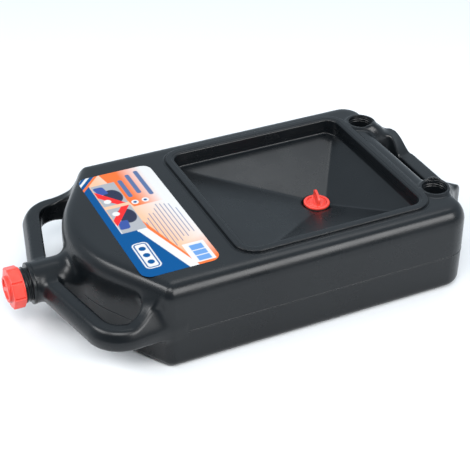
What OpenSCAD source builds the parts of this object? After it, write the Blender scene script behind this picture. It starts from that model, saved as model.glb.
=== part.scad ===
// Portable oil drain pan: a low blow-moulded tank with a funnel recess in its deck, a screw-capped
// spout on the centre-line of its nose, two front handles, a rear handle and two sockets that park
// the drain plug.
//
// +X runs from the spout to the rear handle, +Y to the left side and +Z up. The origin is the middle
// of the footprint, on the ground.

/* [Tank] */
// Width across the side walls, at the parting line
tank_w = 283; // [260:1:310]
// Height of the deck above the ground
tank_h = 104; // [95:1:120]
// Wall of the blow moulding
wall = 2.5; // [2:0.1:3.5]
// Radius of the top edge
top_fillet = 11; // [7:0.5:14]
// Radius of the bottom edge
foot_fillet = 9; // [5:0.5:12]
// How far the side walls lean in between the parting line and the ground
draft = 0.5; // [0:0.5:4]
// Height of the parting line, the spout and the handles
axis_h = 54; // [48:1:60]

/* [Plan outline] */
// Nose, front
nose_x = -200.5; // [-207:0.5:-192]
// Radius of the nose
nose_r = 146; // [130:1:170]
// Angle at which each shoulder sweeps back
shoulder_angle = 31; // [25:1:38]
// Radius of the shoulder corners
shoulder_r = 15; // [8:1:25]
// Rear wall between the corner blocks
rear_x = 224; // [215:1:228]
// Rear face of the corner blocks
block_x = 237; // [234:1:245]
// Radius of the outer corners of the blocks
block_r = 29; // [22:1:36]
// Inner side of each corner block, from the centre-line
block_y = 62; // [55:1:68]

/* [Funnel recess] */
// Front edge of the rim
rim_x0 = -43.5; // [-52:0.5:-37]
// Rear edge of the rim
rim_x1 = 198.5; // [188:0.5:201]
// Width of the rim
rim_w = 236; // [220:1:240]
// Corner radius of the rim
rim_r = 25; // [20:1:40]
// Height of the rim above the deck
rim_rise = 3; // [1:0.5:5]
// Width of the rim's flat band
rim_band = 10.5; // [6:0.5:14]
// Depth of the upright wall below the deck
well_depth = 13; // [8:1:20]
// Depth of the lowest point of the sloping floor below the deck
floor_depth = 46; // [40:1:50]
// Position of the lowest point
floor_x = 121.5; // [108:0.5:128]

/* [Drain plug] */
// Position of the drain hole
drain_x = 110; // [103:0.5:116]
// Radius of the drain hole at the root of its thread
drain_r = 13.4; // [12:0.1:15]
// Pitch of the plug's thread
plug_pitch = 3; // [2.5:0.5:4]
// Radius of the plug's flange
plug_flange_r = 15.6; // [15:0.1:17]
// Length of the plug's tab
tab_l = 24; // [16:1:28]
// Height of the plug's tab
tab_h = 13; // [8:0.5:16]

/* [Plug sockets] */
// Position of the sockets along the tank
socket_x = 216.5; // [213:0.5:219]
// Distance of each socket from the centre-line
socket_y = 86; // [82:1:92]
// Radius of the raised collar
socket_collar_r = 16.8; // [16:0.1:18]
// Height of the collar above the deck
socket_rise = 2.5; // [1:0.5:4]
// Depth of the bore below the collar
socket_depth = 15; // [12:1:20]

/* [Spout and cap] */
// Front face of the cap
cap_x = -274.5; // [-280:0.5:-270]
// Length of the cap's skirt
cap_l = 14.5; // [13:0.5:17]
// Radius of the cap over its ribs
cap_r = 23; // [22.5:0.1:25]
// Number of grip ribs
cap_ribs = 8; // [6:1:12]
// Height of the boss on the cap's face
boss_h = 3.5; // [2:0.5:5]
// Front face of the spout's collar
collar_x = -248.5; // [-251:0.5:-245]
// Radius of the spout's collar
collar_r = 23.8; // [23:0.1:26]
// Pitch of the spout's thread
cap_pitch = 4; // [3:0.5:5]

/* [Handles] */
// Width of the handle bars in plan
bar_w = 21; // [16:0.5:24]
// Height of the handle bars
bar_h = 26; // [18:0.5:28]
// Rear face of the rear handle
handle_x = 274.5; // [270:0.5:280]
// Distance of each leg of the rear handle from the centre-line
leg_y = 73.5; // [68:0.5:76]
// Radius of the middle of the rear handle's bends
leg_bend_r = 31.5; // [26:0.5:34]
// How far each leg of the rear handle rises above its bar
leg_rise = 27; // [8:1:30]

/* [Label] */
// Front edge of the label
label_x0 = -154; // [-158:1:-145]
// Rear edge of the label
label_x1 = -64; // [-75:1:-60]
// Width of the label across the tank
label_w = 217; // [150:1:220]
// Middle of the label, from the centre-line
label_y = -3; // [-10:0.5:10]

/* [Hidden] */

black = [0.17, 0.18, 0.19];
red = [0.90, 0.30, 0.24];
rubber = [0.08, 0.08, 0.08];
label_blue = [0.05, 0.36, 0.64];

gap = 0.3;                              // running gap between bodies that move apart
half_w = tank_w / 2;
deck = tank_h;
round_sides = 96;
puck_sides = 24;
nose_steps = 5;
top_draft = 0.5;                        // lean of the walls above the parting line
beyond = 50;                            // how far a cutter runs past what it cuts

// Shoulder corners: where the straight shoulder meets the side wall
shoulder_y = nose_r * sin(shoulder_angle);
shoulder_x = nose_x + nose_r * (1 - cos(shoulder_angle));
corner_x = shoulder_x + (half_w - shoulder_y) * tan(shoulder_angle);
corner_back = shoulder_r * tan(45 - shoulder_angle / 2);

// Funnel
rim_l = rim_x1 - rim_x0;
rim_cx = (rim_x0 + rim_x1) / 2;
well_l = rim_l - 2 * rim_band;
well_w = rim_w - 2 * rim_band;
well_z = deck - well_depth;
floor_z = deck - floor_depth;
seat_r = plug_flange_r + 1.9;
seat_z = floor_z + 2.5;
drain_tube_l = 13;
thread_depth = 1;
thread_play = 0.35;                     // play between a screw and its nut, on the radius
thread_sink = 0.4;                      // how far a ridge is sunk into the wall that carries it
thread_base = 1.5;                      // width of the plug's thread at its root
thread_tip = 0.7;

// Plug sockets
lead_in = 4;
socket_root_r = drain_r + 0.6;

// Plug, from the seat upwards
washer_z = seat_z + gap;
washer_h = 1.3;
flange_z = washer_z + washer_h + gap;
flange_h = 3;
stem_l = drain_tube_l - 2;
stem_wall = 2.2;
plug_stem_r = drain_r - thread_depth - thread_play;
tab_t = 3.2;
tab_turn = -15;

// Spout and cap, along the spout's own axis: s is measured from the cap's face towards the tank
cap_end = 2.5;
liner_t = 1.5;
face_s = boss_h;
liner_s = face_s + cap_end + gap;
mouth_s = liner_s + liner_t + gap;
rim_s = face_s + cap_l;
collar_s = collar_x - cap_x;
collar_t = 4;
neck_end_s = nose_x - cap_x + 5;
cap_thread_base = 1.9;
cap_thread_tip = 0.9;
neck_r = 23.2;
thread_root_r = 18.4;
thread_crest_r = 20.3;
spout_bore_r = 16.4;
neck_bore_r = neck_r - wall;
cap_bore_r = thread_crest_r + 0.4;
cap_crest_r = thread_root_r + thread_play;

function unit(v) = v / norm(v);

function arc(cx, cy, r, a0, a1, n) =
    [for (i = [0:n]) [cx + r * cos(a0 + (a1 - a0) * i / n), cy + r * sin(a0 + (a1 - a0) * i / n)]];

// ---------------------------------------------------------------- shared shapes

// Upright round solid with the tank's edge profile, inset by t all over
module puck(r, t) {
    rt = top_fillet - t;
    rb = foot_fillet - t;
    rotate_extrude($fn = puck_sides)
        polygon(concat([[0, t]],
                       arc(r - t - draft - rb, foot_fillet, rb, -90, -5, 4),
                       [[r - t, axis_h]],
                       arc(r - t - top_draft - rt, deck - top_fillet, rt, 0, 90, 5),
                       [[0, deck - t]]));
}

// Solid inside the tank's skin, inset by t
module tank_form(t = 0) {
    hull() {
        for (i = [-nose_steps:nose_steps])
            translate([nose_x + nose_r - (nose_r - shoulder_r) * cos(shoulder_angle * i / nose_steps),
                       (nose_r - shoulder_r) * sin(shoulder_angle * i / nose_steps), 0])
                puck(shoulder_r, t);
        for (s = [-1, 1]) {
            translate([corner_x + corner_back, s * (half_w - shoulder_r), 0]) puck(shoulder_r, t);
            translate([rear_x - block_r, s * (half_w - block_r), 0]) puck(block_r, t);
        }
    }
    for (s = [-1, 1]) hull() {
        translate([block_x - block_r, s * (half_w - block_r), 0]) puck(block_r, t);
        translate([block_x - shoulder_r, s * (block_y + shoulder_r), 0]) puck(shoulder_r, t);
        translate([rear_x - 3 * shoulder_r, s * (block_y + shoulder_r), 0]) puck(shoulder_r, t);
        translate([rear_x - 3 * shoulder_r, s * (half_w - shoulder_r), 0]) puck(shoulder_r, t);
    }
}

// Rectangle with round corners, centred
module round_rect(l, w, r) {
    square([l - 2 * r, w], center = true);
    square([l, w - 2 * r], center = true);
    for (x = [-1, 1], y = [-1, 1]) translate([x * (l / 2 - r), y * (w / 2 - r)]) circle(r, $fn = 48);
}

// Right-hand screw ridge about +Z from z0 to z1, on the helix that crosses angle 0 at height ref.
// The root radius is outside the crest for a nut's ridge.
module ridge(root, crest, pitch, z0, z1, base, tip, ref) {
    steps = 30;
    n = ceil((z1 - z0) / pitch * steps);
    points = [for (i = [0:n])
        let (z = z0 + pitch * i / steps, a = 360 * (z - ref) / pitch)
        for (p = [[root, -base / 2], [crest, -tip / 2], [crest, tip / 2], [root, base / 2]])
            [p[0] * cos(a), p[0] * sin(a), z + p[1]]];
    quads = [for (i = [0:n - 1], j = [0:3])
        [4 * i + j, 4 * i + (j + 1) % 4, 4 * i + 4 + (j + 1) % 4, 4 * i + 4 + j]];
    ends = [[3, 2, 1, 0], [for (j = [0:3]) 4 * n + j]];
    faces = concat(quads, ends);
    polyhedron(points, crest > root ? faces : [for (f = faces) [for (k = [len(f) - 1:-1:0]) f[k]]],
               convexity = 10);
}

// Round corner between three points of a path
function bend(a, b, c, r, n = 8) =
    let (u = unit(a - b), v = unit(c - b), half = acos(u * v) / 2,
         centre = b + unit(u + v) * r / sin(half),
         s = b + u * r / tan(half) - centre, e = b + v * r / tan(half) - centre,
         turn = 180 - 2 * half)
    [for (i = [0:n]) centre + (sin((1 - i / n) * turn) * s + sin(i / n * turn) * e) / sin(turn)];

// Section of a handle bar: a rectangle with generous corners
function bar_point(a, w, h) =
    [w / 2 * sign(cos(a)) * pow(abs(cos(a)), 0.55), h / 2 * sign(sin(a)) * pow(abs(sin(a)), 0.55)];

// Bar swept along a plan path of [x, y] points; low and high give its underside and top at each point
module bar(path, width, low, high) {
    sides = 20;
    n = len(path) - 1;
    points = [for (i = [0:n])
        let (t = unit(path[min(i + 1, n)] - path[max(i - 1, 0)]), across = [t[1], -t[0]],
             mid = (low[i] + high[i]) / 2)
        for (k = [0:sides - 1])
            let (p = bar_point(360 * k / sides, width, high[i] - low[i]))
            [path[i][0] + across[0] * p[0], path[i][1] + across[1] * p[0], mid + p[1]]];
    quads = [for (i = [0:n - 1], k = [0:sides - 1])
        let (here = sides * i, next = here + sides, on = (k + 1) % sides)
        [here + k, here + on, next + on, next + k]];
    ends = [[for (k = [sides - 1:-1:0]) k], [for (k = [0:sides - 1]) sides * n + k]];
    polyhedron(points, concat(quads, ends), convexity = 10);
}

// Places a shape drawn upright, mouth up, on the spout's axis with s = 0 at the cap's face
module on_spout_axis() {
    translate([cap_x, 0, axis_h]) rotate([0, 90, 0]) children();
}

// Upright cylinder from z0 to z1
module rod(r, z0, z1) {
    translate([0, 0, z0]) cylinder(r = r, h = z1 - z0, $fn = round_sides);
}

module tube(r_out, r_in, z0, z1) {
    difference() {
        rod(r_out, z0, z1);
        rod(r_in, z0 - 1, z1 + 1);
    }
}

// ---------------------------------------------------------------- tank moulding

module tank_shell() {
    difference() {
        tank_form();
        tank_form(wall);
        translate([rim_cx, 0, deck - beyond]) linear_extrude(2 * beyond) round_rect(rim_l, rim_w, rim_r);
        on_spout_axis() rod(neck_r, neck_end_s - beyond, neck_end_s + beyond);
        for (s = [-1, 1])
            translate([socket_x, s * socket_y, 0]) rod(socket_collar_r, axis_h, deck + beyond);
    }
}

module tank_upper() color(black) intersection() {
    tank_shell();
    translate([0, 0, axis_h]) linear_extrude(deck) square(2 * handle_x + beyond, center = true);
}

module tank_lower() color(black) intersection() {
    tank_shell();
    linear_extrude(axis_h) square(2 * handle_x + beyond, center = true);
}

// Hollow of the funnel, grown outwards by t: an upright well over a four-sided sloping floor
module well_form(t) {
    speck = 0.01;
    intersection() {
        translate([rim_cx, 0, 0]) linear_extrude(2 * deck)
            round_rect(well_l + 2 * t, well_w + 2 * t, rim_r - rim_band + t);
        hull() {
            translate([rim_cx, 0, deck + beyond]) cube([well_l + 8, well_w + 8, 2 * beyond], center = true);
            translate([rim_cx, 0, well_z - t]) cube([well_l + 8, well_w + 8, speck], center = true);
            translate([floor_x, 0, floor_z - t]) cube([2 * speck, 2 * speck, speck], center = true);
        }
    }
}

module funnel() color(black) {
    difference() {
        union() {
            translate([rim_cx, 0, deck - wall])
                linear_extrude(wall + rim_rise) round_rect(rim_l, rim_w, rim_r);
            intersection() {
                well_form(wall);
                linear_extrude(deck) square(2 * handle_x, center = true);
            }
            translate([drain_x, 0, 0]) rod(seat_r + 1.5, seat_z - drain_tube_l, seat_z);
        }
        well_form(0);
        translate([drain_x, 0, 0]) {
            rod(seat_r, seat_z, deck);
            rod(drain_r, 0, deck);
        }
    }
    translate([drain_x, 0, 0])
        ridge(drain_r + thread_sink, drain_r - thread_depth, plug_pitch, seat_z - drain_tube_l + 2, seat_z - 2,
              thread_base, thread_tip, seat_z);
}

module spout() color(black) on_spout_axis() {
    difference() {
        union() {
            rod(thread_root_r, mouth_s, collar_s + 1);
            rod(collar_r, collar_s, collar_s + collar_t);
            rod(neck_r, collar_s + collar_t - 1, neck_end_s);
        }
        rod(spout_bore_r, mouth_s - 1, neck_end_s + 1);
        rod(neck_bore_r, collar_s + collar_t, neck_end_s + 1);
    }
    ridge(thread_root_r - thread_sink, thread_crest_r, cap_pitch, mouth_s + 2, collar_s - 2.2,
          cap_thread_base, cap_thread_tip, mouth_s);
}

// Handle beside the spout: out from the collar, round a corner and back to the shoulder
function front_path() =
    let (a = [collar_x + 16, 14], b = [corner_x - 64, half_w - bar_w / 2 + 7.5],
         c = [corner_x + 12, half_w - bar_w / 2 + 1], turn = bend(a, b, c, 32))
    concat([a], turn, [for (i = [1:5]) turn[8] + (c - turn[8]) * i / 5]);

// How far a leg has swelled at x, from 0 in the bar to 1 at the shoulder
function swell(x) = let (t = max(0, min(1, (x - corner_x + 36) / 40))) t * t;

module front_handle(side) color(black) difference() {
    path = front_path();
    bar([for (p = path) [p[0], side * p[1]]], bar_w,
        [for (p = path) axis_h - bar_h / 2 - 4 * swell(p[0])],
        [for (p = path) axis_h + bar_h / 2 + 16 * swell(p[0])]);
    tank_form();
    on_spout_axis() {
        rod(neck_r, 0, neck_end_s);
        rod(collar_r, 0, collar_s + collar_t);
    }
}

// Handle behind the tank: a straight bar, round two bends and up into two tall legs
module rear_handle() color(black) {
    bar_x = handle_x - bar_w / 2;
    foot = [rear_x - 6, leg_y];
    side_path = concat([foot], bend(foot, [bar_x, leg_y], [bar_x, 0], leg_bend_r, 10));
    path = concat(side_path, [for (i = [len(side_path) - 1:-1:0]) [side_path[i][0], -side_path[i][1]]]);
    bend_end = leg_y - leg_bend_r;
    rise = [for (p = path) let (t = max(0, min(1, (abs(p[1]) - bend_end - 7) / 20))) t * t * (3 - 2 * t)];
    difference() {
        bar(path, bar_w, [for (r = rise) axis_h - bar_h / 2 - 2 * r],
            [for (r = rise) axis_h + bar_h / 2 + leg_rise * r]);
        tank_form();
    }
}

// Parking socket: a plain lead-in as wide as the drain hole, then the thread in a wider bore
module plug_socket(side) color(black) translate([socket_x, side * socket_y, deck + socket_rise]) {
    difference() {
        union() {
            rod(socket_collar_r, -socket_rise - wall, 0);
            rod(socket_root_r + 1.5, -socket_depth - wall, -wall);
        }
        rod(drain_r, -lead_in, 1);
        rod(socket_root_r, -socket_depth, -lead_in);
    }
    ridge(socket_root_r + thread_sink, drain_r - thread_depth, plug_pitch, -socket_depth + 1.5, -lead_in - 2,
          thread_base, thread_tip, 0);
}

module label() color(label_blue)
    translate([(label_x0 + label_x1) / 2, label_y, deck])
        linear_extrude(0.3) round_rect(label_x1 - label_x0, label_w, 12);

// ---------------------------------------------------------------- closures

module spout_cap() color(red) on_spout_axis() {
    difference() {
        union() {
            rod(cap_r - 1.5, face_s, rim_s);
            for (i = [0:cap_ribs - 1]) rotate([0, 0, 360 * (i + 0.5) / cap_ribs])
                translate([cap_r - 3, -4.5, face_s]) cube([3, 9, cap_l - 1.5]);
            cylinder(r = cap_r * 0.68, h = face_s + 1, $fn = 8);
        }
        rod(cap_bore_r, face_s + cap_end, rim_s + 1);
    }
    ridge(cap_bore_r + thread_sink, cap_crest_r, cap_pitch, mouth_s + 1.2, rim_s - 1.5,
          cap_thread_base, cap_thread_tip, mouth_s + cap_pitch / 2);
}

module cap_liner() color(rubber) on_spout_axis()
    rod(cap_crest_r - 0.5, liner_s, liner_s + liner_t);

module drain_plug() color(red) translate([drain_x, 0, 0]) {
    top = flange_z + flange_h;
    difference() {
        union() {
            rod(plug_flange_r, flange_z, top);
            rod(plug_stem_r, seat_z - stem_l, flange_z + 1);
        }
        tube(plug_flange_r - 2, 8, top - 1, top + 1);
        rod(plug_stem_r - stem_wall, seat_z - stem_l - 1, seat_z - 1);
    }
    ridge(plug_stem_r - thread_sink, drain_r - thread_play, plug_pitch, seat_z - stem_l + 1, seat_z - 1.6,
          thread_base - 0.1, thread_tip, seat_z + plug_pitch / 2);
    rotate([0, 0, tab_turn]) translate([-tab_t / 2, 0, top - 1.2]) rotate([90, 0, 90])
        linear_extrude(tab_t) {
            translate([-tab_l / 2, 0]) square([tab_l, tab_h - 5]);
            translate([0, tab_h / 2]) round_rect(tab_l, tab_h, 6);
        }
}

module plug_washer() color(rubber) translate([drain_x, 0, 0])
    tube(plug_flange_r - 0.3, drain_r + 0.2, washer_z, washer_z + washer_h);

tank_upper();
tank_lower();
funnel();
spout();
front_handle(1);  // front_handle_left
front_handle(-1);  // front_handle_right
rear_handle();
plug_socket(1);  // plug_socket_left
plug_socket(-1);  // plug_socket_right
label();
spout_cap();
cap_liner();
drain_plug();
plug_washer();
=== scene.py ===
import math

import bpy
import numpy as np
from mathutils import Matrix, Vector


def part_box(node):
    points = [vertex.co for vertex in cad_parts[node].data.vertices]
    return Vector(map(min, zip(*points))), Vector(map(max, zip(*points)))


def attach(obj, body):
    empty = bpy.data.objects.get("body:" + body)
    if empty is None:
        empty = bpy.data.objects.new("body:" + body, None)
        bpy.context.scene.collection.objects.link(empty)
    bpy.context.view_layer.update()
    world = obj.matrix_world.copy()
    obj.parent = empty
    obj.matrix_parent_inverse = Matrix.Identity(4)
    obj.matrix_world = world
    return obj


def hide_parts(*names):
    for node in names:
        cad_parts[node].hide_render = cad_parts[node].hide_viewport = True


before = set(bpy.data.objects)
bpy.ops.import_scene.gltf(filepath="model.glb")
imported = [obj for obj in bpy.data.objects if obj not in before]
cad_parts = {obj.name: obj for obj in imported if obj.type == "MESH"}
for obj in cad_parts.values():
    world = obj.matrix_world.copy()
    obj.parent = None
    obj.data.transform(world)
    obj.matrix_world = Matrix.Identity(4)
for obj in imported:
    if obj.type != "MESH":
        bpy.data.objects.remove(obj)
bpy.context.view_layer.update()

# A portable oil drain pan: one smooth blow-moulded skin around the CAD tank, with a finely threaded
# spout, cap, drain plug and plug sockets, and a printed label. Fields and shapes are in millimetres in
# the CAD frame: +X from the spout to the rear handle, +Y to the left side, +Z up.

MM = 0.001


def node_box(node):
    """Lowest and highest corners of a CAD node, in millimetres."""
    low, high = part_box(node)
    return np.array(low) / MM, np.array(high) / MM


# ---------------------------------------------------------------- places taken from the frame

upper_low, upper_high = node_box("tank_upper")
funnel_low, funnel_high = node_box("funnel")
spout_low, spout_high = node_box("spout")
cap_low, cap_high = node_box("spout_cap")
plug_low, plug_high = node_box("drain_plug")
socket_low, socket_high = node_box("plug_socket_left")
label_low, label_high = node_box("label")
_, rear_high = node_box("rear_handle")

NOSE_X = upper_low[0]
BLOCK_X = upper_high[0]
HALF_W = upper_high[1]
DECK = upper_high[2]
AXIS = upper_low[2]
RIM_X0, RIM_X1 = funnel_low[0], funnel_high[0]
RIM_HALF_W = funnel_high[1]
RIM_TOP = funnel_high[2]
PLUG_X = (plug_low[0] + plug_high[0]) / 2
PLUG_R = (plug_high[0] - plug_low[0]) / 2
PLUG_TOP = plug_high[2]
SOCKET = (socket_low + socket_high) / 2
SOCKET_R = (socket_high[0] - socket_low[0]) / 2
SOCKET_TOP = socket_high[2]
CAP_X = cap_low[0]
CAP_R = (cap_high[1] - cap_low[1]) / 2
MOUTH_X = spout_low[0]
COLLAR_R = (spout_high[1] - spout_low[1]) / 2
HANDLE_X = rear_high[0]

# ---------------------------------------------------------------- the tank's own shape

# plan outline: round nose, straight shoulders, and two blocks beside a recess at the rear
NOSE_R = 146
SHOULDER_ANGLE = math.radians(31)
SHOULDER_R = 15
BLOCK_R = 29
BLOCK_Y = 62
REAR_X = BLOCK_X - 13
RECESS_R, RECESS_FOOT_R = 10, 7
PLAN_LOW, PLAN_HIGH = (-300, -175), (300, 175)

# side walls: the round at the deck is cut off by the deck itself, so it starts at an angle
EDGE_R, EDGE_CUT = 24.5, 4
FOOT_FILLET = 9
LEAN = 0.5
PARTING_Z = AXIS - 9

# funnel: its rim, the upright wall inside, and the floor that falls to the drain
RIM_X = (RIM_X0 + RIM_X1) / 2
RIM_HALF_L = (RIM_X1 - RIM_X0) / 2
RIM_R = 25
RIM_BAND = 10.5
WELL_DEPTH = 15
FLOOR_DEPTH = 46
FLOOR_X = PLUG_X + 11.5
SEAT_Z = DECK - FLOOR_DEPTH + 2.5
SEAT_R = PLUG_R + 1.9
HOLE_R = 13.4

# handles
BAR_W, BAR_H = 21, 26
BAR_LOW, BAR_HIGH = AXIS - BAR_H / 2, AXIS + BAR_H / 2

# spout, closures and the share of faces kept where the skin is thinned out
NECK_R = 23.2
COLLAR_X = MOUTH_X + 17.9
SPOUT_PITCH, PLUG_PITCH = 4, 3
TAB_TURN = math.radians(-15)
GRIP_TURN = math.radians(30)
KEPT_FACES = 0.42


# ---------------------------------------------------------------- fields: negative inside, in mm

def blend_min(a, b, k):
    """Union of two fields with a fillet about k wide."""
    h = np.clip(0.5 + 0.5 * (b - a) / k, 0, 1)
    return b + (a - b) * h - k * h * (1 - h)


def blend_max(a, b, k):
    """Intersection of two fields with an edge rounded about k wide."""
    return -blend_min(-a, -b, k)


def corner_of(a, b, r):
    """Intersection of two fields with a round edge of radius r."""
    qa, qb = a + r, b + r
    return np.hypot(np.maximum(qa, 0), np.maximum(qb, 0)) + np.minimum(np.maximum(qa, qb), 0) - r


def slab(plan, z, low, high, low_r, high_r):
    """Upright solid over a plan field, with round bottom and top edges."""
    middle = (low + high) / 2
    r = np.where(z > middle, high_r, low_r)
    return corner_of(plan, np.abs(z - middle) - (high - low) / 2, r)


def round_rectangle(x, y, half_l, half_w, r):
    """Rectangle about the origin with round corners."""
    qx, qy = np.abs(x) - half_l + r, np.abs(y) - half_w + r
    return np.hypot(np.maximum(qx, 0), np.maximum(qy, 0)) + np.minimum(np.maximum(qx, qy), 0) - r


class PlanMap:
    """Values over the plan, worked out on a grid of 1 mm and read back between its points."""

    def __init__(self):
        self.low = np.array(PLAN_LOW, float)
        count = (np.array(PLAN_HIGH) - self.low).astype(int) + 1
        self.x = self.low[0] + np.arange(count[0])[:, None]
        self.y = self.low[1] + np.arange(count[1])[None, :]
        self.values = None

    def __call__(self, x, y):
        u = np.clip(x - self.low[0], 0, self.values.shape[0] - 1.001)
        v = np.clip(y - self.low[1], 0, self.values.shape[1] - 1.001)
        i, j = u.astype(int), v.astype(int)
        fu, fv = u - i, v - j
        w = self.values
        near = w[i, j] * (1 - fu) + w[i + 1, j] * fu
        far = w[i, j + 1] * (1 - fu) + w[i + 1, j + 1] * fu
        return near * (1 - fv) + far * fv


def segment_distance(x, y, a, b):
    """Squared distance to a segment, and how far along it the nearest point is, from 0 to 1."""
    run = b - a
    t = np.clip(((x - a[0]) * run[0] + (y - a[1]) * run[1]) / (run @ run), 0, 1)
    return (x - a[0] - t * run[0]) ** 2 + (y - a[1] - t * run[1]) ** 2, t


def bend(a, b, c, r, steps=30):
    """Round corner at b on the way from a to c."""
    u, v = (a - b) / np.linalg.norm(a - b), (c - b) / np.linalg.norm(c - b)
    half = math.acos(np.clip(u @ v, -1, 1)) / 2
    middle = (u + v) / np.linalg.norm(u + v)
    centre = b + middle * r / math.sin(half)
    start, end = b + u * r / math.tan(half) - centre, b + v * r / math.tan(half) - centre
    turn = math.pi - 2 * half
    return [centre + (math.sin((1 - i / steps) * turn) * start + math.sin(i / steps * turn) * end)
            / math.sin(turn) for i in range(steps + 1)]


def points(*pairs):
    """Plan points from pairs of numbers."""
    return [np.array(pair, float) for pair in pairs]


def tank_outline():
    """Plan outline of the tank, all round, and where its shoulders meet its sides."""
    nose = [np.array([NOSE_X + NOSE_R * (1 - math.cos(a)), NOSE_R * math.sin(a)])
            for a in np.linspace(0, SHOULDER_ANGLE, 25)]
    shoulder = nose[-1]
    corner_x = shoulder[0] + (HALF_W - shoulder[1]) * math.tan(SHOULDER_ANGLE)
    corners = points((corner_x, HALF_W), (BLOCK_X, HALF_W), (BLOCK_X, BLOCK_Y), (REAR_X, BLOCK_Y),
                     (REAR_X, 0))
    side = nose
    for k, r in enumerate((SHOULDER_R, BLOCK_R, RECESS_R, RECESS_FOOT_R)):
        before = corners[k - 1] if k else shoulder
        side = side + bend(before, corners[k], corners[k + 1], r)
    return side + [p * (1, -1) for p in reversed(side)][:-1], corner_x


def outline_map(outline):
    """Signed distance to a closed outline."""
    plan = PlanMap()
    nearest = np.full((plan.x + plan.y).shape, 1e9)
    inside = np.zeros(nearest.shape, bool)
    for a, b in zip(outline, outline[1:] + outline[:1]):
        if np.allclose(a, b):
            continue
        square, _ = segment_distance(plan.x, plan.y, a, b)
        nearest = np.minimum(nearest, square)
        if a[1] != b[1]:
            crosses = (a[1] > plan.y) != (b[1] > plan.y)
            inside ^= crosses & (plan.x < a[0] + (plan.y - a[1]) * (b[0] - a[0]) / (b[1] - a[1]))
    plan.values = np.where(inside, -1, 1) * np.sqrt(nearest)
    return plan


class Bar:
    """A bar swept along a plan path, with its own underside and top at each point of the path.
    Its outer side, on the left of the path, slants in above and below the middle of the tank, and
    its inner side leans the same way where the bar rises above its usual height."""

    def __init__(self, path, low, high):
        self.offset, self.beyond, self.low, self.high = (PlanMap() for _ in range(4))
        x, y = self.offset.x, self.offset.y
        nearest = np.full((x + y).shape, 1e9)
        for held in (self.offset, self.beyond, self.low, self.high):
            held.values = np.zeros(nearest.shape)
        for k in range(len(path) - 1):
            square, t = segment_distance(x, y, path[k], path[k + 1])
            closer = square < nearest
            nearest = np.where(closer, square, nearest)
            run = (path[k + 1] - path[k]) / np.linalg.norm(path[k + 1] - path[k])
            aside = (y - path[k][1]) * run[0] - (x - path[k][0]) * run[1]
            past_end = (k == 0) & (t == 0) | (k == len(path) - 2) & (t == 1)
            offset = np.where(past_end, aside, np.where(aside > 0, 1, -1) * np.sqrt(square))
            beyond = np.where(past_end, np.sqrt(np.maximum(square - aside ** 2, 0)), 0)
            self.offset.values = np.where(closer, offset, self.offset.values)
            self.beyond.values = np.where(closer, beyond, self.beyond.values)
            for held, ends in ((self.low, low), (self.high, high)):
                held.values = np.where(closer, ends[k] + (ends[k + 1] - ends[k]) * t, held.values)

    def __call__(self, x, y, z, width, r, slant):
        low, high, offset = self.low(x, y), self.high(x, y), self.offset(x, y)
        # the slant goes out of use above this height, and is gentler below the middle
        slant_top, soft = 24, 4
        rise = np.minimum(z, AXIS + slant_top) - AXIS
        outer = offset - width / 2 + slant * (0.3 * rise + 0.7 * (np.sqrt(rise ** 2 + soft ** 2) - soft))
        inner = -offset - width / 2 - slant * np.maximum(z - BAR_HIGH, 0)
        return corner_of(np.maximum(np.maximum(outer, inner), self.beyond(x, y) - 2),
                         np.abs(z - (low + high) / 2) - (high - low) / 2, r)


def ease(t):
    """Smooth rise from 0 to 1 while t goes from 0 to 1."""
    t = min(1, max(0, t))
    return t * t * (3 - 2 * t)


outline, corner_x = tank_outline()
tank_plan = outline_map(outline)


def front_bar():
    """The handle on the left of the spout, which swells towards the shoulder. The right one mirrors it."""
    drop, rise, swell_start, swell_length = 4, 20, corner_x - 40, 44
    a, b, c = points((COLLAR_X + 16, 14), (corner_x - 64, HALF_W - BAR_W / 2 + 7.5),
                     (corner_x + 12, HALF_W - BAR_W / 2 - 2))
    turn = bend(a, b, c, 32)
    path = [a] + turn + [turn[-1] + (c - turn[-1]) * i / 8 for i in range(1, 9)]
    swell = [ease((p[0] - swell_start) / swell_length) for p in path]
    return Bar(path, [BAR_LOW - drop * s for s in swell], [BAR_HIGH + rise * s for s in swell])


def rear_bar():
    """The handle behind the tank, whose legs rise where they meet the blocks."""
    leg_y, bend_r, drop, rise = 73.5, 31.5, 2, 27
    bar_x = HANDLE_X - BAR_W / 2
    foot, corner, middle = points((REAR_X - 14, leg_y), (bar_x, leg_y), (bar_x, 0))
    side = [foot] + bend(foot, corner, middle, bend_r, 40)
    path = side + [p * (1, -1) for p in reversed(side)]
    lift = [ease((abs(p[1]) - leg_y + bend_r - 7) / 20) for p in path]
    return Bar(path, [BAR_LOW - drop * s for s in lift], [BAR_HIGH + rise * s for s in lift])


side_handle = front_bar()
back_handle = rear_bar()


def lug(x, y, z):
    """Where a leg of the rear handle flares into the corner of its block."""
    half_l, half_w, plan_r, edge_r = 14.5, 14, 13, 9
    plan = round_rectangle(x - BLOCK_X + 6, y - SOCKET[1] + 9, half_l, half_w, plan_r)
    # the top falls away to the rear, and the factor makes its field a true distance
    fall = 0.6
    top = (z - DECK + 2 + fall * (x - BLOCK_X)) * 0.86
    return corner_of(plan, np.maximum(top, AXIS - 12 - z), edge_r)


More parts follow.
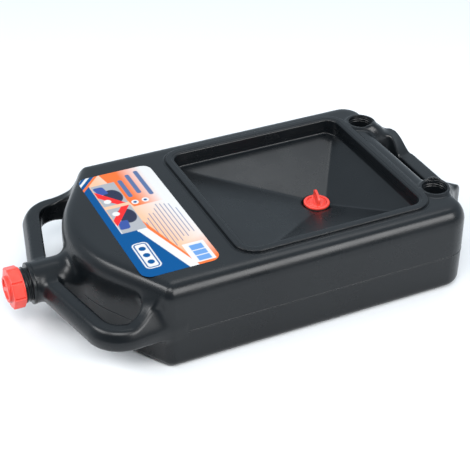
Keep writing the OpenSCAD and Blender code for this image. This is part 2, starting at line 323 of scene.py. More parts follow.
def well(x, y, z):
    """Hollow of the funnel: an upright wall over four planes that fall to one low point."""
    half_l, half_w = RIM_HALF_L - RIM_BAND, RIM_HALF_W - RIM_BAND
    wall = round_rectangle(x - RIM_X, y, half_l, half_w, RIM_R - RIM_BAND)
    fall = FLOOR_DEPTH - WELL_DEPTH
    # each plane climbs from 0 at the low point to 1 a little way past the wall
    past = 4
    to_rear = (x - FLOOR_X) / (RIM_X + half_l + past - FLOOR_X)
    to_front = (FLOOR_X - x) / (FLOOR_X - RIM_X + half_l + past)
    to_side = np.sqrt(y * y + 4) / (half_w + past)
    climb = blend_max(blend_max(to_rear, to_front, 0.02), to_side, 0.035)
    floor = DECK - FLOOR_DEPTH + fall * climb - z
    return blend_max(wall, floor * 0.94, 0.6)


def skin(x, y, z):
    """The whole blow moulding, with plain holes where the threaded pieces go."""
    neck_fillet, leg_fillet, leg_extra, rear_fillet, lug_fillet = 15, 7, 9, 8, 9
    collar_fillet, well_edge, seat_edge = 5, 2.6, 1.6
    lean = LEAN * np.abs(z - AXIS) / AXIS
    d = slab(tank_plan(x, y) + lean, z, 0, DECK + EDGE_CUT, FOOT_FILLET, EDGE_R)
    d = blend_max(d, z - DECK, 4)
    neck_start, neck_end = COLLAR_X + 3.4, -150
    neck = corner_of(np.hypot(y, z - AXIS) - NECK_R, np.maximum(neck_start - x, x - neck_end), 0.8)
    d = blend_min(d, neck, neck_fillet)
    # each front leg has a wider fillet just ahead of the shoulder
    widest, reach = corner_x - 26, 28
    near_widest = np.clip(1 - np.abs(x - widest) / reach, 0, 1)
    front = side_handle(x, np.abs(y), z, BAR_W, 5, 0.6)
    d = blend_min(d, front, leg_fillet + leg_extra * near_widest)
    d = blend_min(d, back_handle(x, y, z, BAR_W, 5.5, 0.0), rear_fillet)
    d = blend_min(d, lug(x, np.abs(y), z), lug_fillet)
    rim_plan = round_rectangle(x - RIM_X, y, RIM_HALF_L, RIM_HALF_W, RIM_R)
    d = np.minimum(d, np.maximum(rim_plan + 1, np.abs(z - DECK) - (RIM_TOP - DECK) + 0.8))
    collar = np.hypot(x - SOCKET[0], np.abs(y) - SOCKET[1]) - SOCKET_R - 1
    d = blend_min(d, corner_of(collar, np.abs(z - DECK) - (SOCKET_TOP - DECK), 1.3), collar_fillet)
    d = blend_max(d, -well(x, y, z), well_edge)
    plug_r = np.hypot(x - PLUG_X, y)
    d = blend_max(d, -np.maximum(plug_r - SEAT_R, SEAT_Z - z), seat_edge)
    # plain holes that end within the walls of the threaded pieces, and a little below their floors
    drain_hole_depth, socket_hole_depth = 22, 24
    d = np.maximum(d, -np.maximum(plug_r - HOLE_R - 1.4, SEAT_Z - drain_hole_depth - z))
    return np.maximum(d, -np.maximum(collar + 2.1, SOCKET_TOP - socket_hole_depth - z))


# ---------------------------------------------------------------- from a field to a mesh

def zero_surface(field, low, high, step):
    """Points and quads of a field's zero surface: one point for each grid cell that it crosses."""
    low = np.array(low, float)
    sides = [low[a] + step * np.arange(int(math.ceil((high[a] - low[a]) / step)) + 1) for a in range(3)]
    d = field(sides[0][:, None, None], sides[1][None, :, None], sides[2][None, None, :])
    d = np.broadcast_to(d, [len(s) for s in sides]).astype(np.float32)
    inside = d < 0
    cells = tuple(n - 1 for n in d.shape)
    corners = [(i, j, k) for i in (0, 1) for j in (0, 1) for k in (0, 1)]
    count = np.zeros(cells, np.int8)
    for i, j, k in corners:
        count += inside[i:cells[0] + i, j:cells[1] + j, k:cells[2] + k]
    at = np.argwhere((count > 0) & (count < 8))
    number = np.full(cells, -1, np.int32)
    number[tuple(at.T)] = np.arange(len(at))
    value = {c: d[tuple((at + c).T)] for c in corners}
    total, hits = np.zeros((len(at), 3)), np.zeros(len(at))
    for axis in range(3):
        for c in corners:
            if c[axis]:
                continue
            far = tuple(1 if a == axis else c[a] for a in range(3))
            cut = (value[c] < 0) != (value[far] < 0)
            t = np.where(cut, value[c] / np.where(cut, value[c] - value[far], 1), 0)
            place = np.tile(np.array(c, float), (len(at), 1))
            place[:, axis] = t
            total += place * cut[:, None]
            hits += cut
    spots = low + step * (at + total / hits[:, None])
    faces = []
    for axis in range(3):
        one, two = (axis + 1) % 3, (axis + 2) % 3
        first = [slice(1, -1)] * 3
        first[axis] = slice(None, -1)
        second = list(first)
        second[axis] = slice(1, None)
        a, b = inside[tuple(first)], inside[tuple(second)]
        for rising in (False, True):
            edge = np.argwhere((a & ~b) if rising else (~a & b))
            offset = np.zeros(3, int)
            offset[one] = offset[two] = 1
            edge = edge + offset
            ring = []
            for da, db in ((-1, -1), (0, -1), (0, 0), (-1, 0)):
                cell = edge.copy()
                cell[:, one] += da
                cell[:, two] += db
                ring.append(number[tuple(cell.T)])
            faces.append(np.stack(ring if rising else ring[::-1], axis=1))
    return spots, np.concatenate(faces)


def settle(field, spots, step, rounds=3):
    """Moves points along the field's slope onto its zero surface."""
    h = 0.2 * step
    for _ in range(rounds):
        x, y, z = spots.T
        d = field(x, y, z)
        slope = np.stack([field(x + h, y, z) - field(x - h, y, z),
                          field(x, y + h, z) - field(x, y - h, z),
                          field(x, y, z + h) - field(x, y, z - h)], axis=1) / (2 * h)
        move = slope * (d / np.maximum((slope ** 2).sum(1), 0.1))[:, None]
        length = np.linalg.norm(move, axis=1)
        move *= np.minimum(1, 0.4 * step / np.maximum(length, 1e-9))[:, None]
        spots = spots - move
    return spots


def new_piece(name, spots, faces, body, slot_name, material, replaced=()):
    """A smooth-shaded mesh object from points in mm and faces of one size, riding on a body."""
    faces = np.asarray(faces, np.int32)
    mesh = bpy.data.meshes.new(name)
    mesh.vertices.add(len(spots))
    mesh.vertices.foreach_set("co", (np.asarray(spots) * MM).astype(np.float32).ravel())
    mesh.loops.add(faces.size)
    mesh.loops.foreach_set("vertex_index", faces.ravel())
    mesh.polygons.add(len(faces))
    mesh.polygons.foreach_set("loop_start", np.arange(0, faces.size, faces.shape[1], dtype=np.int32))
    mesh.update(calc_edges=True)
    mesh.validate()
    mesh.polygons.foreach_set("use_smooth", np.ones(len(mesh.polygons), bool))
    mesh.materials.append(material)
    piece = bpy.data.objects.new(name, mesh)
    bpy.context.collection.objects.link(piece)
    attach(piece, body)
    if replaced:
        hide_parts(*replaced)
    return piece


def field_piece(name, field, low, high, step, *about):
    """A piece whose surface is a field's zero surface. The rest goes to new_piece."""
    spots, faces = zero_surface(field, low, high, step)
    return new_piece(name, settle(field, spots, step), faces, *about)


def thin_out(piece, ratio):
    """Merges faces where the surface is flat, and keeps them where it bends."""
    thin = piece.modifiers.new("thin_out", "DECIMATE")
    thin.ratio = ratio
    bpy.context.view_layer.objects.active = piece
    with bpy.context.temp_override(object=piece):
        bpy.ops.object.modifier_apply(modifier=thin.name)


# ---------------------------------------------------------------- turned pieces with screw threads

def thread(angle, along, pitch, start, end, base, tip):
    """Height of a right-hand screw ridge, from 0 to 1, which fades out at both ends."""
    phase = (along / pitch - angle / (2 * math.pi) + 0.5) % 1 - 0.5
    ridge = np.clip((base / 2 - np.abs(phase) * pitch) / ((base - tip) / 2), 0, 1)
    ridge = ridge * ridge * (3 - 2 * ridge)
    return ridge * np.clip((along - start) / 1.5, 0, 1) * np.clip((end - along) / 1.5, 0, 1)


def dense(profile, step):
    """Closed profile of (radius, along) points with extra points so that none are over a step apart."""
    out = []
    for a, b in zip(profile, profile[1:] + profile[:1]):
        n = max(1, int(math.ceil(math.dist(a, b) / step)))
        out += [(a[0] + (b[0] - a[0]) * i / n, a[1] + (b[1] - a[1]) * i / n) for i in range(n)]
    return np.array(out)


def round_profile(corners, steps=4):
    """Closed profile from (radius, along, corner radius)."""
    out = []
    for k, (r, s, fillet) in enumerate(corners):
        here = np.array((r, s), float)
        if fillet == 0:
            out.append((r, s))
            continue
        before = np.array(corners[k - 1][:2], float)
        after = np.array(corners[(k + 1) % len(corners)][:2], float)
        out += [tuple(p) for p in bend(before, here, after, fillet, steps)]
    return out


def turned(profile, ridge, place, sides=160, step=0.35):
    """Points and quads of a closed profile turned about an axis, with a ridge added to its radius."""
    ring = dense(profile, step)
    angle = np.arange(sides) * 2 * math.pi / sides
    r, s = ring[:, 0][:, None], ring[:, 1][:, None]
    spots = place(r + ridge(angle[None, :], s, r), s + 0 * angle[None, :], angle[None, :])
    n = len(ring)
    i, j = np.meshgrid(np.arange(n), np.arange(sides), indexing="ij")
    up, on = (i + 1) % n, (j + 1) % sides
    faces = np.stack([i * sides + j, up * sides + j, up * sides + on, i * sides + on], axis=-1)
    return np.stack(spots, axis=-1).reshape(-1, 3), faces.reshape(-1, 4)


def on_spout(r, s, angle):
    """Place of a point at radius r, s behind the cap's face, on the spout's axis."""
    return CAP_X + s, r * np.sin(angle), AXIS - r * np.cos(angle)


def upright(x, y):
    """Places of points about an upright axis."""
    return lambda r, z, angle: (x + r * np.cos(angle), y + r * np.sin(angle), z + 0 * angle)


# ---------------------------------------------------------------- materials

def material(name, color, roughness, **sockets):
    """A Principled material, its node tree and its shader. Nodes that are linked later take over from the
    constants that are set here."""
    mat = bpy.data.materials.new(name)
    mat.use_nodes = True
    shader = mat.node_tree.nodes["Principled BSDF"]
    shader.inputs["Base Color"].default_value = (*color, 1)
    shader.inputs["Roughness"].default_value = roughness
    for socket, value in sockets.items():
        shader.inputs[socket.replace("_", " ")].default_value = value
    return mat, mat.node_tree, shader


def node(tree, kind, **settings):
    """A new node, with each setting put on its socket or, failing that, on the node."""
    made = tree.nodes.new(kind)
    for key, value in settings.items():
        if key in made.inputs:
            made.inputs[key].default_value = value
        else:
            setattr(made, key, value)
    return made


def noise(tree, scale, detail, stretch=(1, 1, 1)):
    """Noise in the object's own coordinates, scale in cycles per metre."""
    place = node(tree, "ShaderNodeTexCoord")
    squeeze = node(tree, "ShaderNodeMapping")
    squeeze.inputs["Scale"].default_value = stretch
    made = node(tree, "ShaderNodeTexNoise", Scale=scale, Detail=detail)
    tree.links.new(place.outputs["Object"], squeeze.inputs["Vector"])
    tree.links.new(squeeze.outputs["Vector"], made.inputs["Vector"])
    return made.outputs["Fac"]


def spread(tree, value, low, high):
    """Maps 0.3 to 0.7 of a noise to a range."""
    made = node(tree, "ShaderNodeMapRange")
    for key, number in zip(("From Min", "From Max", "To Min", "To Max"), (0.3, 0.7, low, high)):
        made.inputs[key].default_value = number
    tree.links.new(value, made.inputs["Value"])
    return made.outputs["Result"]


def bumps(tree, shader, *layers):
    """Stacks bump layers of (height, strength, distance in metres)."""
    normal = None
    for height, strength, distance in layers:
        made = node(tree, "ShaderNodeBump", Strength=strength, Distance=distance)
        tree.links.new(height, made.inputs["Height"])
        if normal:
            tree.links.new(normal, made.inputs["Normal"])
        normal = made.outputs["Normal"]
    tree.links.new(normal, shader.inputs["Normal"])


def tone(tree, shader, fac, dark, light):
    """Base colour that drifts between two close shades."""
    made = node(tree, "ShaderNodeMix", data_type="RGBA")
    made.inputs["A"].default_value = (*dark, 1)
    made.inputs["B"].default_value = (*light, 1)
    tree.links.new(fac, made.inputs["Factor"])
    tree.links.new(made.outputs["Result"], shader.inputs["Base Color"])


def black_plastic():
    """Blow-moulded polyethylene: a faint satin skin, fine grain and long, soft drag marks."""
    mat, tree, shader = material("black_moulded_plastic", (0.006, 0.007, 0.008), 0.28,
                                 Specular_IOR_Level=0.3)
    drift = noise(tree, 9, 3)
    tone(tree, shader, spread(tree, drift, 0, 1), (0.003, 0.0042, 0.0055), (0.0055, 0.007, 0.0085))
    tree.links.new(spread(tree, noise(tree, 24, 4), 0.25, 0.32), shader.inputs["Roughness"])
    grain = noise(tree, 900, 3)
    drag_marks = noise(tree, 60, 2, (0.12, 1, 1))
    bumps(tree, shader, (grain, 0.10, 0.00015), (drag_marks, 0.10, 0.0006))
    return mat


def red_plastic():
    """Injection-moulded polypropylene with a slight flow pattern."""
    mat, tree, shader = material("red_moulded_plastic", (0.80, 0.075, 0.05), 0.34, Specular_IOR_Level=0.5,
                                 Subsurface_Weight=0.15, Subsurface_Scale=0.002)
    flow = spread(tree, noise(tree, 60, 3), 0, 1)
    tone(tree, shader, flow, (0.66, 0.045, 0.030), (0.76, 0.062, 0.042))
    tree.links.new(spread(tree, noise(tree, 120, 4), 0.29, 0.40), shader.inputs["Roughness"])
    bumps(tree, shader, (noise(tree, 1200, 2), 0.08, 0.0001))
    return mat


def black_rubber():
    """Dull sealing rubber."""
    mat, tree, shader = material("black_rubber", (0.012, 0.012, 0.012), 0.6)
    tree.links.new(spread(tree, noise(tree, 200, 4), 0.55, 0.7), shader.inputs["Roughness"])
    bumps(tree, shader, (noise(tree, 1500, 3), 0.15, 0.0001))
    return mat


def printed_film():
    """The label: its print, with a painted reflection towards the far right, is a colour stored on the
    mesh.
    """
    mat, tree, shader = material("printed_label", (0.55, 0.55, 0.55), 0.32, Specular_IOR_Level=0.06)
    paint = node(tree, "ShaderNodeVertexColor", layer_name="print")
    tree.links.new(paint.outputs["Color"], shader.inputs["Base Color"])
    tree.links.new(spread(tree, noise(tree, 40, 3), 0.27, 0.36), shader.inputs["Roughness"])
    bumps(tree, shader, (noise(tree, 30, 2), 0.06, 0.0006))
    return mat


plastic = black_plastic()
red = red_plastic()
rubber = black_rubber()
film = printed_film()


# ---------------------------------------------------------------- tank pieces

def make_skin():
    """The whole tank except for its threaded pieces, its rim and its parting line."""
    step = 1.6
    low = (CAP_X + 20, -HALF_W - 14, -4)
    high = (HANDLE_X + 5, HALF_W + 14, RIM_TOP + 4)
    replaced = ("tank_upper", "tank_lower", "funnel",
                "front_handle_left", "front_handle_right", "rear_handle")
    piece = field_piece("tank_skin", skin, low, high, step, "tank", "tank_plastic", plastic, replaced)
    thin_out(piece, KEPT_FACES)


def make_spout():
    """Collar, threaded mouth and bore of the spout."""
    mouth, collar = MOUTH_X - CAP_X, COLLAR_X - CAP_X
    root, bore = 18.4, 16.4
    flange, sleeve_end, sleeve_r = collar + 4, collar + 12, NECK_R - 1
    profile = round_profile([
        (bore, mouth, 0.5), (root, mouth, 0.6), (root, collar, 0.5), (COLLAR_R, collar, 0.8),
        (COLLAR_R, flange, 0.6), (sleeve_r, flange, 0), (sleeve_r, sleeve_end, 0), (bore, sleeve_end, 0)])

    def ridge(angle, s, r):
        wall = (np.abs(r - root) < 0.3) & (s > mouth + 0.7) & (s < collar - 0.6)
        return 1.9 * thread(angle, s - mouth, SPOUT_PITCH, 1.4, collar - mouth - 1.2, 2.3, 0.8) * wall

    spots, faces = turned(profile, ridge, on_spout)
    new_piece("spout_mouth", spots, faces, "tank", "tank_plastic", plastic, ("spout",))


def thread_insert(name, x, y, top, depth, bore, outer, lip, replaced=()):
    """A threaded bore: its lip, wall with an internal thread, and floor."""
    floor, ridge_low, ridge_high = 2, max(2.2 - depth, -9.5), -1.8
    centre_r, end = 0.3, top - depth
    profile = round_profile([
        (centre_r, end, 0), (centre_r, end - floor, 0), (outer, end - floor, 0), (outer, top, lip),
        (bore, top, lip), (bore, end, 1)])[::-1]

    def ridge(angle, z, r):
        wall = (np.abs(r - bore) < 0.3) & (z < top - 1.2)
        return -0.8 * thread(angle, z - top, PLUG_PITCH, ridge_low, ridge_high, 1.8, 0.6) * wall

    spots, faces = turned(profile, ridge, upright(x, y), 128)
    new_piece(name, spots, faces, "tank", "tank_plastic", plastic, replaced)


def make_rim():
    """The funnel's raised rim: a fine bead, a crisp outer edge, a flat band and a low inner step."""
    inner = -RIM_BAND - 0.12
    profile = dense(round_profile([
        (5.5, DECK - 0.3, 0), (3.6, DECK + 0.1, 0.5), (2.6, DECK + 0.55, 0.5), (1.5, DECK + 0.45, 0.3),
        (0.75, DECK + 0.05, 0.2), (0.1, DECK + 0.05, 0.2), (-0.1, RIM_TOP, 1.0), (-6.6, RIM_TOP, 0.5),
        (-7.2, RIM_TOP - 0.45, 0.4), (inner, RIM_TOP - 0.45, 2.4), (inner, DECK - 9, 0),
        (inner + 1.5, DECK - 9.5, 0), (-4, DECK - 9.5, 0)][::-1]), 1.2)
    half_l, half_w = RIM_HALF_L - RIM_R, RIM_HALF_W - RIM_R
    quarter, steps = math.pi / 2, 20
    path = [(RIM_X + sx * half_l, sy * half_w, (turn + i / steps) * quarter)
            for turn, (sx, sy) in enumerate(((1, 1), (-1, 1), (-1, -1), (1, -1)))
            for i in range(steps + 1)]
    spots = [(x + (RIM_R + out) * math.cos(a), y + (RIM_R + out) * math.sin(a), z)
             for x, y, a in path for out, z in profile]
    n, m = len(path), len(profile)
    faces = [(i * m + j, (i + 1) % n * m + j, (i + 1) % n * m + (j + 1) % m, i * m + (j + 1) % m)
             for i in range(n) for j in range(m)]
    new_piece("funnel_rim", spots, faces, "tank", "tank_plastic", plastic)


def make_parting_line():
    """A fine bead round the tank where the halves of the mould met."""
    path = np.array(outline)
    after, before = np.roll(path, -1, 0), np.roll(path, 1, 0)
    along = after - before
    keep = np.linalg.norm(after - path, axis=1) > 1e-6
    path, along = path[keep], along[keep]
    along /= np.linalg.norm(along, axis=1)[:, None]
    outward = np.stack([-along[:, 1], along[:, 0]], axis=1)
    within = (20, 0)
    outward *= np.sign((outward * (path - within)).sum(1).mean())
    sides, r, sunk = 12, 1.4, 1.1
    spots = []
    for k in range(sides):
        a = 2 * math.pi * k / sides
        flat = path + outward * (r * math.cos(a) - sunk)
        spots.append(np.column_stack([flat, np.full(len(flat), PARTING_Z + r * math.sin(a))]))
    spots = np.stack(spots, axis=1).reshape(-1, 3)
    n = len(path)
    i, j = np.meshgrid(np.arange(n), np.arange(sides), indexing="ij")
    up, on = (i + 1) % n, (j + 1) % sides
    faces = np.stack([i * sides + j, i * sides + on, up * sides + on, up * sides + j], axis=-1)
    faces = faces.reshape(-1, 4)
    new_piece("parting_line", spots, faces, "tank", "tank_plastic", plastic)


# ---------------------------------------------------------------- cap and plug

def cap_field(x, y, z):
    """Screw cap with eight flat lobes, a boss on its face and a thread inside."""
    s = x - CAP_X
    r = np.hypot(y, z - AXIS)
    angle = np.arctan2(y, AXIS - z)
    face, rim, end = 3.5, 18, 2.5
    lobe_end, lobe_half_w, boss_r, dish_r, bore_r = 16.4, 8.1, 15, 11.5, 20.7
    sector = math.pi / 4
    turn = angle % sector - sector / 2
    out, across = r * np.cos(turn), r * np.sin(turn)
    lobe = corner_of(corner_of(out - CAP_R + 0.25, np.abs(across) - lobe_half_w, 0.8),
                     np.abs(s - (face + lobe_end) / 2) - (lobe_end - face) / 2, 1.0)
    core = corner_of(r - CAP_R + 1.5, np.abs(s - (face + rim) / 2) - (rim - face) / 2, 0.8)
    d = blend_min(core, lobe, 0.5)
    boss = corner_of(r - boss_r, np.abs(s - 4) - 4, 0.9)
    boss = blend_max(boss, -np.maximum(r - dish_r, s - 2), 0.8)
    across_grip = y * math.sin(GRIP_TURN) + (z - AXIS) * math.cos(GRIP_TURN)
    grip = corner_of(np.abs(across_grip) - 2.4, np.maximum(r - dish_r - 0.9, np.abs(s - 3.4) - 3), 0.8)
    d = blend_min(blend_min(d, boss, 0.8), grip, 0.6)
    mouth = MOUTH_X - CAP_X
    along = s - mouth - SPOUT_PITCH / 2
    screw = 1.95 * thread(angle, along, SPOUT_PITCH, -1.2, rim - mouth - 3.2, 2.0, 0.9)
    return blend_max(d, -np.maximum(r - bore_r + screw, face + end - s), 0.4)


def plug_field(x, y, z):
    """Plug with a shallow ring on its flange, an upright tab and a hollow threaded stem."""
    u, v = x - PLUG_X, y
    r = np.hypot(u, v)
    angle = np.arctan2(v, u)
    flange_z, flange_h = SEAT_Z + 1.9, 3
    disc = corner_of(r - PLUG_R, np.abs(z - flange_z - flange_h / 2) - flange_h / 2, 0.9)
    groove = np.hypot(r - 10.6, z - flange_z - flange_h) - 1.5
    disc = blend_max(disc, -groove, 0.6)
    across = u * math.cos(TAB_TURN) + v * math.sin(TAB_TURN)
    along = -u * math.sin(TAB_TURN) + v * math.cos(TAB_TURN)
    half_l, half_thick = 12, 1.65
    height = PLUG_TOP - flange_z
    plate = round_rectangle(along, z - flange_z - height / 2, half_l, height / 2, 6)
    foot = np.maximum(np.abs(along) - half_l, np.abs(z - flange_z - 2) - 3.6)
    tab = corner_of(np.minimum(plate, foot), np.abs(across) - half_thick, 1.0)
    stem_r, stem_bore = 12.05, 9.85
    stem_low, stem_high = SEAT_Z - 11, flange_z + 1
    screw = thread(angle, z - SEAT_Z - PLUG_PITCH / 2, PLUG_PITCH, -10.4, -0.8, 1.5, 0.6)
    ends = np.abs(z - (stem_low + stem_high) / 2) - (stem_high - stem_low) / 2
    stem = corner_of(r - stem_r - screw, ends, 0.5)
    stem = blend_max(stem, -np.maximum(r - stem_bore, z - SEAT_Z + 1), 0.5)
    return blend_min(blend_min(disc, tab, 1.6), stem, 0.4)


def make_closures():
    """The red cap and the red plug, each with a margin round it for the grid."""
    step, margin = 0.4, 1.5
    reach = CAP_R + margin
    field_piece("red_cap", cap_field, (CAP_X - 1, -reach, AXIS - reach), (CAP_X + 19, reach, AXIS + reach),
                step, "spout_cap", "closure_plastic", red, ("spout_cap",))
    reach = PLUG_R + margin
    field_piece("red_plug", plug_field, (PLUG_X - reach, -reach, SEAT_Z - 12.5),
                (PLUG_X + reach, reach, PLUG_TOP + margin), step, "drain_plug", "closure_plastic", red,
                ("drain_plug",))


# ---------------------------------------------------------------- label

BLUE = (0.0, 0.055, 0.18)
ORANGE = (0.60, 0.12, 0.03)
PEACH = (0.57, 0.35, 0.23)
WHITE = (0.52, 0.52, 0.52)
INK = (0.07, 0.11, 0.22)
RED = (0.62, 0.02, 0.02)
GREY = (0.27, 0.28, 0.30)
DARK = (0.02, 0.025, 0.05)
DEEP_BLUE = (0.03, 0.06, 0.22)
BAR_BLUE = (0.10, 0.22, 0.45)


def over(paint, color, distance):
    """Lays a colour over the print where a distance in mm is below 0, with a soft edge."""
    cover = np.clip(0.5 - distance / 0.6, 0, 1)[:, None]
    return paint * (1 - cover) + np.array(color) * cover


def box_at(x, y, x0, x1, y0, y1, r=0.4):
    """Rectangle from x0 to x1 and y0 to y1 with round corners."""
    return round_rectangle(x - (x0 + x1) / 2, y - (y0 + y1) / 2, (x1 - x0) / 2, (y1 - y0) / 2, r)


def beyond(x, y, a, b):
    """Distance past the line from a to b, positive on its right-hand side."""
    run = np.subtract(b, a) / math.dist(a, b)
    return (x - a[0]) * run[1] - (y - a[1]) * run[0]


def label_print_and_sheen(x, y):
    """Plain colour fields, bars and patches: a generic print with no words or marks, on a peach ground
    with a painted reflection that whitens it towards the far right.
    """
    paint = np.tile(np.array(PEACH), (len(x), 1))
    # painted reflection: the peach ground turns white towards the far right, where a gloss highlight would
    # lie
    painted_sheen = np.clip((x + 0.25 * y + 112) / 42, 0, 1)[:, None]
    paint = paint * (1 - painted_sheen) + np.array(WHITE) * painted_sheen
    warm = np.clip((-y - 70 + 0.4 * (x + 100)) / 45, 0, 1)[:, None]
    paint = paint * (1 - warm) + np.array(ORANGE) * warm
    # title panel
    panel = np.maximum(np.maximum(24 - y, -beyond(x, y, (-112.5, 24), (-126, 103))), x + 76)
    fade = np.clip((x + 76 + 30) / 30, 0, 1)[:, None]
    cover = np.clip(0.5 - panel / 0.6, 0, 1)[:, None] * (1 - fade)
    paint = paint * (1 - cover) + np.array(ORANGE) * cover
    for k, (start, end) in enumerate(((44, 84), (48, 92), (40, 96))):
        paint = over(paint, INK, box_at(x, y, -111 + 12 * k, -105.5 + 12 * k, start, end, 2.5))
    for oval in (-108, -95.5):
        paint = over(paint, WHITE, box_at(x, y, oval - 4, oval + 4, 28, 37, 4))
        paint = over(paint, BLUE, np.hypot(x - oval, y - 32.5) - 2)
    # rows of small bars
    for k in range(10):
        row = -112 + 4.6 * k
        start, end = 18 - 5 * abs(k - 6) + 3 * (k % 3), -72 + 3 * k - 5 * (k % 2)
        paint = over(paint, INK, box_at(x, y, row - 0.45, row + 0.45, end, start, 0.4))
    # near corner: blue field with white and orange edges
    stripe = beyond(x, y, (-94, -114), (-124, 4))
    paint = over(paint, ORANGE, np.maximum(stripe - 6.2, y + 6))
    paint = over(paint, WHITE, np.maximum(stripe - 4.4 + 0.03 * (y + 113), y + 2))
    paint = over(paint, BLUE, np.maximum(beyond(x, y, (-100, -114), (-127.5, -20)), y + 26))
    paint = over(paint, BLUE, x + 145)
    paint = over(paint, BLUE, np.maximum(x + 127, y + 22))
    # two picture patches
    for low_y, high_y, flip in ((36, 83, 1), (-22, 30, -1)):
        u, v = x + 129.5, (y - (low_y + high_y) / 2) * flip
        frame_d = box_at(x, y, -144, -115, low_y, high_y, 1)
        paint = over(paint, GREY, frame_d)
        paint = over(paint, DARK, np.maximum(frame_d, np.hypot(u * 0.7 - 2, v * 0.5 + 3) - 7.5))
        paint = over(paint, DEEP_BLUE, np.maximum(frame_d, box_at(u + 0.15 * v, v, -11, 1, 2, 19, 3)))
        paint = over(paint, RED, np.maximum(frame_d, np.abs(u * 0.8 + v * 0.6 + 9) - 4))
        paint = over(paint, WHITE, np.maximum(frame_d, np.hypot(u + 7, v + 14) - 4.2))
    # plain badge
    badge = box_at(x, y, -144.5, -126, -96, -46, 6)
    paint = over(paint, WHITE, badge)
    paint = over(paint, BLUE, badge + 1.6)
    paint = over(paint, WHITE, badge + 3.2)
    for k in range(3):
        paint = over(paint, BLUE, np.hypot(x + 135.2, y + 58 + 13 * k) - 4)
    # bar panel
    paint = over(paint, WHITE, box_at(x, y, -94, -69, -106, -69, 1))
    for at, wide in ((-104, 9), (-93.5, 8.5), (-83.5, 10)):
        paint = over(paint, BAR_BLUE, box_at(x, y, -88, -73, at, at + wide, 0.3))
    # far corner
    corner = beyond(x, y, (-154, 80), (-128, 108))
    paint = over(paint, BLUE, corner)
    paint = over(paint, WHITE, np.abs(corner + 6) - 1.6)
    paint = over(paint, WHITE, np.abs(corner + 12) - 1.0)
    return over(paint, ORANGE, np.abs(corner - 1.5) - 1.5)


def make_label():
    """A thin film just above the deck, fine enough to hold its print."""
    step = 0.6
    # a little narrower than its CAD node
    length, width = label_high[0] - label_low[0], 0.985 * (label_high[1] - label_low[1])
    r, thick = 12, 0.12
    cx, cy = (label_low[0] + label_high[0]) / 2, (label_low[1] + label_high[1]) / 2
    rows, columns = int(length / step), int(width / step)
    u, v = np.meshgrid(np.linspace(-1, 1, rows + 1), np.linspace(-1, 1, columns + 1), indexing="ij")
    # each row across is pulled in where the corners are round
    reach = length / 2 - np.abs(u) * length / 2
    inset = np.where(reach < r, r - np.sqrt(np.maximum(r * r - (r - reach) ** 2, 0)), 0)
    x, y = cx + u * length / 2, cy + v * (width / 2 - inset)
    top = np.column_stack([x.ravel(), y.ravel(), np.full(x.size, DECK + thick)])
    under = top - (0, 0, thick + 0.1)
    i, j = np.meshgrid(np.arange(rows), np.arange(columns), indexing="ij")
    w = columns + 1
    start = i * w + j
    quad = np.stack([start, start + w, start + w + 1, start + 1], axis=-1).reshape(-1, 4)
    back = quad[:, ::-1] + len(top)
    loop = ([i * w for i in range(rows)] + [rows * w + j for j in range(columns)]
            + [i * w + columns for i in range(rows, 0, -1)] + list(range(columns, 0, -1)))
    loop = np.array(loop)
    nxt = np.roll(loop, -1)
    skirt = np.stack([loop, loop + len(top), nxt + len(top), nxt], axis=-1)
    spots = np.concatenate([top, under])
    faces = np.concatenate([quad, back, skirt])
    piece = new_piece("printed_label", spots, faces, "tank", "label_film", film, ("label",))
    color = piece.data.color_attributes.new("print", "FLOAT_COLOR", "POINT")
    paint = label_print_and_sheen(spots[:, 0], spots[:, 1])
    paint = np.column_stack([paint, np.ones(len(paint))])
    color.data.foreach_set("color", paint.astype(np.float32).ravel())


# ---------------------------------------------------------------- build

make_skin()
make_spout()
for side, socket_y in (("left", SOCKET[1]), ("right", -SOCKET[1])):
    thread_insert("socket_thread_" + side, SOCKET[0], socket_y, SOCKET_TOP + 0.15, 20, HOLE_R + 1.2,
                  SOCKET_R, 0.9, ("plug_socket_" + side,))
thread_insert("drain_thread", PLUG_X, 0, SEAT_Z + 0.05, 16, HOLE_R, HOLE_R + 2, 0.4)
make_rim()
make_parting_line()
make_closures()
make_label()
for seal in ("cap_liner", "plug_washer"):
    seal_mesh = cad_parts[seal].data
    seal_mesh.materials.clear()
    seal_mesh.materials.append(rubber)


# ---------------------------------------------------------------- stage, lights and camera

def make_stage():
    """A wide floor of pale paper just under the pan."""
    mat, _, _ = material("floor_paper", (0.72, 0.735, 0.75), 0.9, Specular_IOR_Level=0.1)
    half = 6
    mesh = bpy.data.meshes.new("floor")
    corners = [(-half, -half, 0), (half, -half, 0), (half, half, 0), (-half, half, 0)]
    mesh.from_pydata(corners, [], [(0, 1, 2, 3)])
    mesh.materials.append(mat)
    floor = bpy.data.objects.new("floor", mesh)
    bpy.context.collection.objects.link(floor)
    floor.location.z = -0.0005


def soft_light(name, place, size, power, aim=(0.05, 0, 0.06)):
    """A rectangular softbox that faces its aim. Metres and watts."""
    light = bpy.data.lights.new(name, "AREA")
    light.shape = "RECTANGLE"
    light.size, light.size_y = size
    light.energy = power
    lamp = bpy.data.objects.new(name, light)
    bpy.context.collection.objects.link(lamp)
    lamp.location = place
    lamp.rotation_euler = (Vector(aim) - Vector(place)).to_track_quat("-Z", "Y").to_euler()


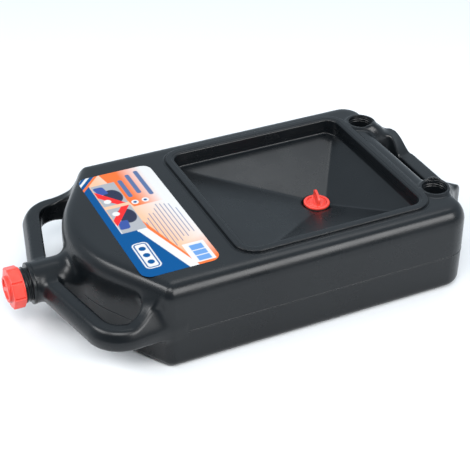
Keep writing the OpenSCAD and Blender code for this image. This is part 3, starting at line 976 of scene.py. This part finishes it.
def make_lights():
    """A studio that is bright behind the pan, and softboxes round the near side and overhead."""
    world = bpy.data.worlds.new("studio")
    world.use_nodes = True
    tree = world.node_tree
    sky = tree.nodes["Background"]
    sky.inputs["Color"].default_value = (0.80, 0.93, 1.04, 1)
    # bright paper behind the pan, and a dark room on the near side
    place = node(tree, "ShaderNodeTexCoord")
    toward = node(tree, "ShaderNodeVectorMath", operation="DOT_PRODUCT")
    far_side = (0.42, 0.91, 0)
    fade_start, fade_end, room, paper = -0.75, 0.1, 0.06, 0.82
    toward.inputs[1].default_value = far_side
    fade = node(tree, "ShaderNodeMapRange")
    fade.inputs["From Min"].default_value = fade_start
    fade.inputs["From Max"].default_value = fade_end
    fade.inputs["To Min"].default_value = room
    fade.inputs["To Max"].default_value = paper
    tree.links.new(place.outputs["Generated"], toward.inputs[0])
    tree.links.new(toward.outputs["Value"], fade.inputs["Value"])
    tree.links.new(fade.outputs["Result"], sky.inputs["Strength"])
    bpy.context.scene.world = world
    soft_light("near_right", (0.76, -1.56, 1.14), (1.5, 0.75), 36)
    soft_light("near_left", (-0.71, -1.04, 1.64), (1.3, 0.6), 25)
    soft_light("far_left", (-1.5, 0.14, 1.37), (1.2, 0.6), 24)
    soft_light("overhead", (0.76, 0.7, 1.79), (1.2, 0.6), 6, (0.1, 0, 0.06))


def make_camera():
    """A camera at the fitted viewpoint, with the fitted heading, pitch and roll."""
    heading, pitch, roll = (math.radians(a) for a in (25.22, 34.12, 0.225))
    flat = Vector((math.sin(heading), math.cos(heading), 0))
    forward = flat * math.cos(pitch) - Vector((0, 0, math.sin(pitch)))
    level = Vector((math.cos(heading), -math.sin(heading), 0))
    below = forward.cross(level)
    right = level * math.cos(roll) - below * math.sin(roll)
    down = level * math.sin(roll) + below * math.cos(roll)
    camera = bpy.data.objects.new("camera", bpy.data.cameras.new("camera"))
    camera.data.sensor_width = 36
    camera.data.lens = 96.26
    camera.data.clip_end = 50
    turn = Matrix((right, -down, -forward)).transposed()
    camera.matrix_world = Matrix.Translation((-0.5176, -1.1038, 0.874)) @ turn.to_4x4()
    bpy.context.collection.objects.link(camera)
    bpy.context.scene.camera = camera


make_stage()
make_lights()
make_camera()
bpy.context.scene.view_settings.view_transform = "Standard"
